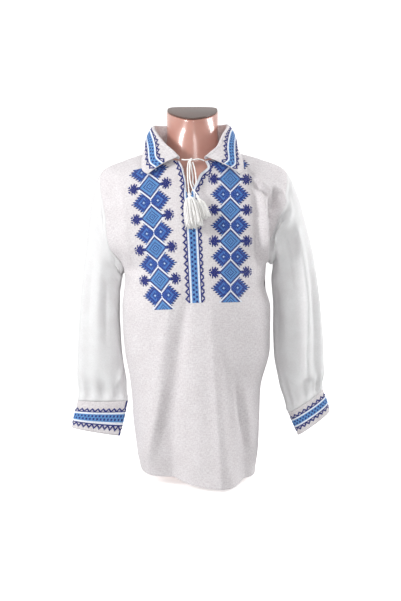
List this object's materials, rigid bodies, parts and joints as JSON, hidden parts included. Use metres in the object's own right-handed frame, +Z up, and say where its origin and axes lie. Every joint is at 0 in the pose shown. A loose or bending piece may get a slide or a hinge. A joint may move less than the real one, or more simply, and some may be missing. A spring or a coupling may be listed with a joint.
{
  "type": "embroidered folk shirt on a limbless dress form",
  "caption": "Loose folk shirt with a turn-down collar, front slit, tasselled tie and cuffed sleeves, worn open and hollow on a limbless dress form that stands on its flat base",
  "frame": {"origin": "on the flat base of the dress form, under the middle of the trunk", "axes": "+Z up along the trunk, the wearer faces -Y, the wearer's left sleeve is at +X"},
  "size_m": [0.592, 0.3022, 0.8623],
  "materials": {
    "linen": "white homespun linen, plain weave with visible slubs",
    "cotton": "smoother white cotton",
    "tie_cotton": "creamy white twisted cotton",
    "form_plastic": "glossy flesh pink",
    "cap_plastic": "satin grey brown"
  },
  "bodies": {
    "root": {"front": "linen", "back": "linen", "sleeve_left": "cotton", "sleeve_right": "cotton", "cuff_left": "linen", "cuff_right": "linen", "collar": "linen", "form": "form_plastic", "neck_cap": "cap_plastic", "tie_knot": "tie_cotton", "tie_run_right": "tie_cotton", "tie_run_left": "tie_cotton", "tie_loop": "tie_cotton", "tie_end_right": "tie_cotton", "tie_end_left": "tie_cotton", "tassel_right": "tie_cotton", "tassel_left": "tie_cotton"}
  },
  "joints": []
}
